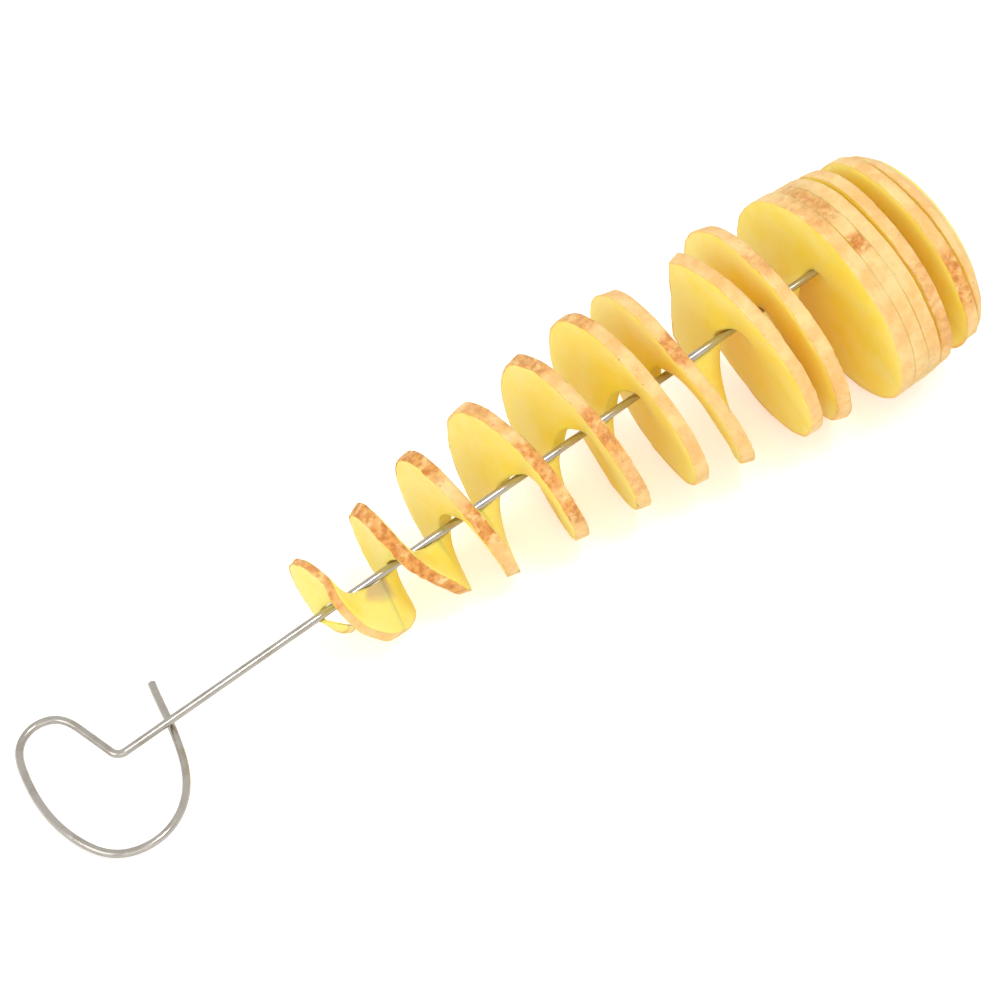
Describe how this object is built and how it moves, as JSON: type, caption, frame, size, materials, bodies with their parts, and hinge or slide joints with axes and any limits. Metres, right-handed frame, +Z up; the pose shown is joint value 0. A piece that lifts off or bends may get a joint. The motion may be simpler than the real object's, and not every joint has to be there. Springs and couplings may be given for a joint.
{
  "type": "spiral cut potato on a wire skewer",
  "caption": "Bent wire skewer with a finger loop, threaded with a spiral cut potato that is drawn out along the wire like a spring.",
  "frame": {"origin": "on the table, under the middle of the object's bounding box", "axes": "+X along the skewer from the finger loop to the point, seen from above; +Z up; +Y to the left when looking towards the point"},
  "size_m": [0.2641, 0.06, 0.0593],
  "materials": {
    "steel_wire": "drawn and polished stainless wire",
    "potato": "moist raw potato flesh with thin tan skin on its rim"
  },
  "bodies": {
    "skewer": {"skewer": "steel_wire"},
    "potato_block": {"block_slice_1": "potato", "block_slice_2": "potato", "block_slice_3": "potato", "block_slice_4": "potato", "block_slice_5": "potato", "end_slice": "potato"},
    "turn_1": {"spiral_turn_1": "potato"},
    "turn_2": {"spiral_turn_2": "potato"},
    "turn_3": {"spiral_turn_3": "potato"},
    "turn_4": {"spiral_turn_4": "potato"},
    "turn_5": {"spiral_turn_5": "potato"},
    "turn_6": {"spiral_turn_6": "potato"},
    "turn_7": {"spiral_turn_7": "potato"},
    "turn_8": {"spiral_turn_8": "potato"},
    "turn_9": {"spiral_turn_9": "potato"}
  },
  "joints": [
    {"name": "potato_turn", "type": "hinge", "parent": "skewer", "child": "potato_block", "pos_m": [-0.1097, 0.00266, 0.00445], "axis": [0.9871, 0, 0.1599], "continuous": true},
    {"name": "turn_9_close", "type": "slide", "parent": "potato_block", "child": "turn_9", "axis": [0.9871, 0, 0.1599], "range_m": [0, 0.00316]},
    {"name": "turn_8_close", "type": "slide", "parent": "turn_9", "child": "turn_8", "axis": [0.9871, 0, 0.1599], "range_m": [0, 0.00317]},
    {"name": "turn_7_close", "type": "slide", "parent": "turn_8", "child": "turn_7", "axis": [0.9871, 0, 0.1599], "range_m": [0, 0.00621]},
    {"name": "turn_6_close", "type": "slide", "parent": "turn_7", "child": "turn_6", "axis": [0.9871, 0, 0.1599], "range_m": [0, 0.0052]},
    {"name": "turn_5_close", "type": "slide", "parent": "turn_6", "child": "turn_5", "axis": [0.9871, 0, 0.1599], "range_m": [0, 0.01147]},
    {"name": "spiral_close", "type": "slide", "parent": "turn_5", "child": "turn_4", "axis": [0.9871, 0, 0.1599], "range_m": [0, 0.01244]},
    {"name": "turn_3_close", "type": "slide", "parent": "turn_4", "child": "turn_3", "axis": [0.9871, 0, 0.1599], "range_m": [0, 0.00806]},
    {"name": "turn_2_close", "type": "slide", "parent": "turn_3", "child": "turn_2", "axis": [0.9871, 0, 0.1599], "range_m": [0, 0.00817]},
    {"name": "turn_1_close", "type": "slide", "parent": "turn_2", "child": "turn_1", "axis": [0.9871, 0, 0.1599], "range_m": [0, 0.00696]}
  ],
  "couplings": [
    {"joint": "turn_9_close", "follows": "spiral_close", "ratio": 0.2528},
    {"joint": "turn_8_close", "follows": "spiral_close", "ratio": 0.2529},
    {"joint": "turn_7_close", "follows": "spiral_close", "ratio": 0.4973},
    {"joint": "turn_6_close", "follows": "spiral_close", "ratio": 0.4162},
    {"joint": "turn_5_close", "follows": "spiral_close", "ratio": 0.9203},
    {"joint": "turn_3_close", "follows": "spiral_close", "ratio": 0.6461},
    {"joint": "turn_2_close", "follows": "spiral_close", "ratio": 0.6551},
    {"joint": "turn_1_close", "follows": "spiral_close", "ratio": 0.5575}
  ]
}
